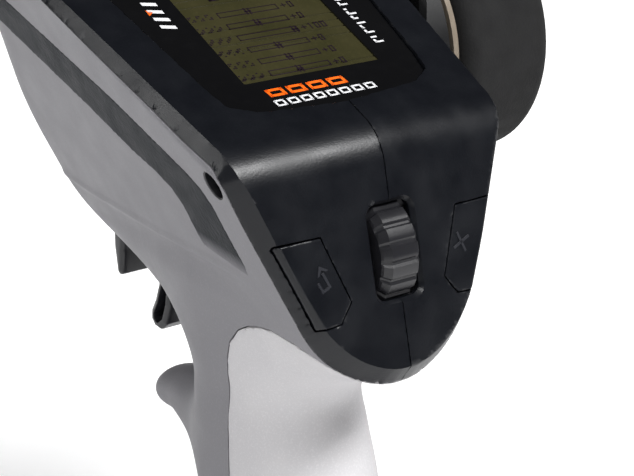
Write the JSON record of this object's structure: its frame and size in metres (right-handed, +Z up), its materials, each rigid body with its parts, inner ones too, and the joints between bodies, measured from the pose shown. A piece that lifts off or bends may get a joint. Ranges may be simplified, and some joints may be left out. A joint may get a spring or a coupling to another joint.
{
  "type": "pistol-grip radio controller",
  "caption": "Hand-held pistol-grip radio transmitter with display head, steering wheel, finger trigger, scroll roller and battery base.",
  "frame": {"origin": "centre of the base's standing face", "axes": "+Z up, +Y forwards away from the driver, +X towards the steering wheel"},
  "size_m": [0.1272, 0.143, 0.2446],
  "materials": {
    "dark_shell": "fine-grained charcoal moulding, satin on its rolled edges",
    "light_shell": "fine-grained warm light grey moulding",
    "slate_inlay": "coarse spark-grained slate moulding",
    "pad_rubber": "soft matt light grey overmoulding",
    "gloss_cover": "gloss black screen cover with printed marks",
    "clear_lens": "clear display window",
    "display_face": "olive reflective display",
    "inner_white": "display carrier",
    "circuit_board": "green solder mask",
    "black_plastic": "black moulding",
    "grey_plastic": "dark grey moulding",
    "rim_plastic": "warm grey wheel rim",
    "foam_tyre": "closed-cell foam, matt",
    "steel": "zinc plated steel",
    "cell_wrap": "wrapped AA cell; stands for a cell's mean density"
  },
  "bodies": {
    "handset": {"head_shell_left": "dark_shell", "head_shell_right": "dark_shell", "body_shell_left": "light_shell", "body_shell_right": "light_shell", "side_inlay_left": "slate_inlay", "side_inlay_right": "slate_inlay", "grip_pad": "pad_rubber", "steering_pod": "grey_plastic", "steering_bearings": "steel", "pod_trim_ring": "light_shell", "screen_cover": "gloss_cover", "display_lens": "clear_lens", "display_panel": "display_face", "display_carrier": "inner_white", "main_board": "circuit_board", "board_screws": "steel", "radio_module": "steel", "speaker": "black_plastic", "aerial_strip": "circuit_board", "key_board": "circuit_board", "key_switches": "black_plastic", "steering_sensor": "black_plastic", "steering_spring": "steel", "trigger_bracket": "black_plastic", "trigger_sensor": "black_plastic", "trigger_spring": "steel", "power_switch": "black_plastic", "trim_brackets": "black_plastic", "knob_sensor": "black_plastic", "base_upper_shell": "light_shell", "base_lower_tray": "dark_shell", "base_feet": "pad_rubber", "battery_cells": "cell_wrap", "battery_contacts": "steel", "contact_springs": "steel", "data_socket": "black_plastic", "case_screws": "steel"},
    "steering_wheel": {"steering_shaft": "steel", "wheel_rim": "rim_plastic", "wheel_tyre": "foam_tyre", "wheel_screw": "steel"},
    "trigger_arm": {"trigger": "black_plastic", "trigger_pin": "steel"},
    "roller_carriage": {"roller_cradle": "black_plastic"},
    "roller": {"menu_roller": "black_plastic", "roller_axle": "steel"},
    "back_key": {"back_button": "dark_shell"},
    "clear_key": {"clear_button": "dark_shell"},
    "power_key": {"power_button": "black_plastic"},
    "mode_push_key": {"mode_key": "black_plastic"},
    "throttle_trim": {"throttle_trim_rocker": "black_plastic"},
    "steering_trim": {"steering_trim_rocker": "black_plastic"},
    "rate_dial": {"rate_knob": "black_plastic"},
    "battery_cover": {"battery_door": "dark_shell", "door_pad": "pad_rubber"}
  },
  "joints": [
    {"name": "steering_turn", "type": "hinge", "parent": "handset", "child": "steering_wheel", "pos_m": [0.05, 0.038, 0.195], "axis": [1, 0, 0], "range_deg": [-35, 35], "stiffness_Nm_per_rad": 0.15},
    {"name": "trigger_pull", "type": "hinge", "parent": "handset", "child": "trigger_arm", "pos_m": [0, 0.06, 0.163], "axis": [1, 0, 0], "range_deg": [-15, 9], "stiffness_Nm_per_rad": 0.12},
    {"name": "roller_press", "type": "slide", "parent": "handset", "child": "roller_carriage", "axis": [0, 0.9705, -0.2413], "range_m": [0, 0.0006], "stiffness_N_per_m": 900},
    {"name": "roller_spin", "type": "hinge", "parent": "roller_carriage", "child": "roller", "pos_m": [0, -0.02764, 0.17201], "axis": [1, 0, 0], "continuous": true},
    {"name": "back_press", "type": "slide", "parent": "handset", "child": "back_key", "axis": [0.0631, 0.9685, -0.2408], "range_m": [0, 0.0008], "stiffness_N_per_m": 700},
    {"name": "clear_press", "type": "slide", "parent": "handset", "child": "clear_key", "axis": [-0.0631, 0.9685, -0.2408], "range_m": [0, 0.0008], "stiffness_N_per_m": 700},
    {"name": "power_press", "type": "slide", "parent": "handset", "child": "power_key", "axis": [0, 0.3665, -0.9304], "range_m": [0, 0.0008], "stiffness_N_per_m": 700},
    {"name": "mode_press", "type": "slide", "parent": "handset", "child": "mode_push_key", "axis": [0, 0.3665, -0.9304], "range_m": [0, 0.0008], "stiffness_N_per_m": 700},
    {"name": "throttle_trim_rock", "type": "hinge", "parent": "handset", "child": "throttle_trim", "pos_m": [-0.017, 0.07141, 0.2332], "axis": [1, 0, 0], "range_deg": [-6, 6], "stiffness_Nm_per_rad": 0.03},
    {"name": "steering_trim_rock", "type": "hinge", "parent": "handset", "child": "steering_trim", "pos_m": [0.017, 0.07141, 0.2332], "axis": [1, 0, 0], "range_deg": [-6, 6], "stiffness_Nm_per_rad": 0.03},
    {"name": "rate_dial_turn", "type": "hinge", "parent": "handset", "child": "rate_dial", "pos_m": [-0.034, 0.0709, 0.2345], "axis": [0, -0.3665, 0.9304], "range_deg": [-140, 140]},
    {"name": "battery_cover_slide", "type": "slide", "parent": "handset", "child": "battery_cover", "axis": [0, 1, 0], "range_m": [0, 0.06]}
  ]
}
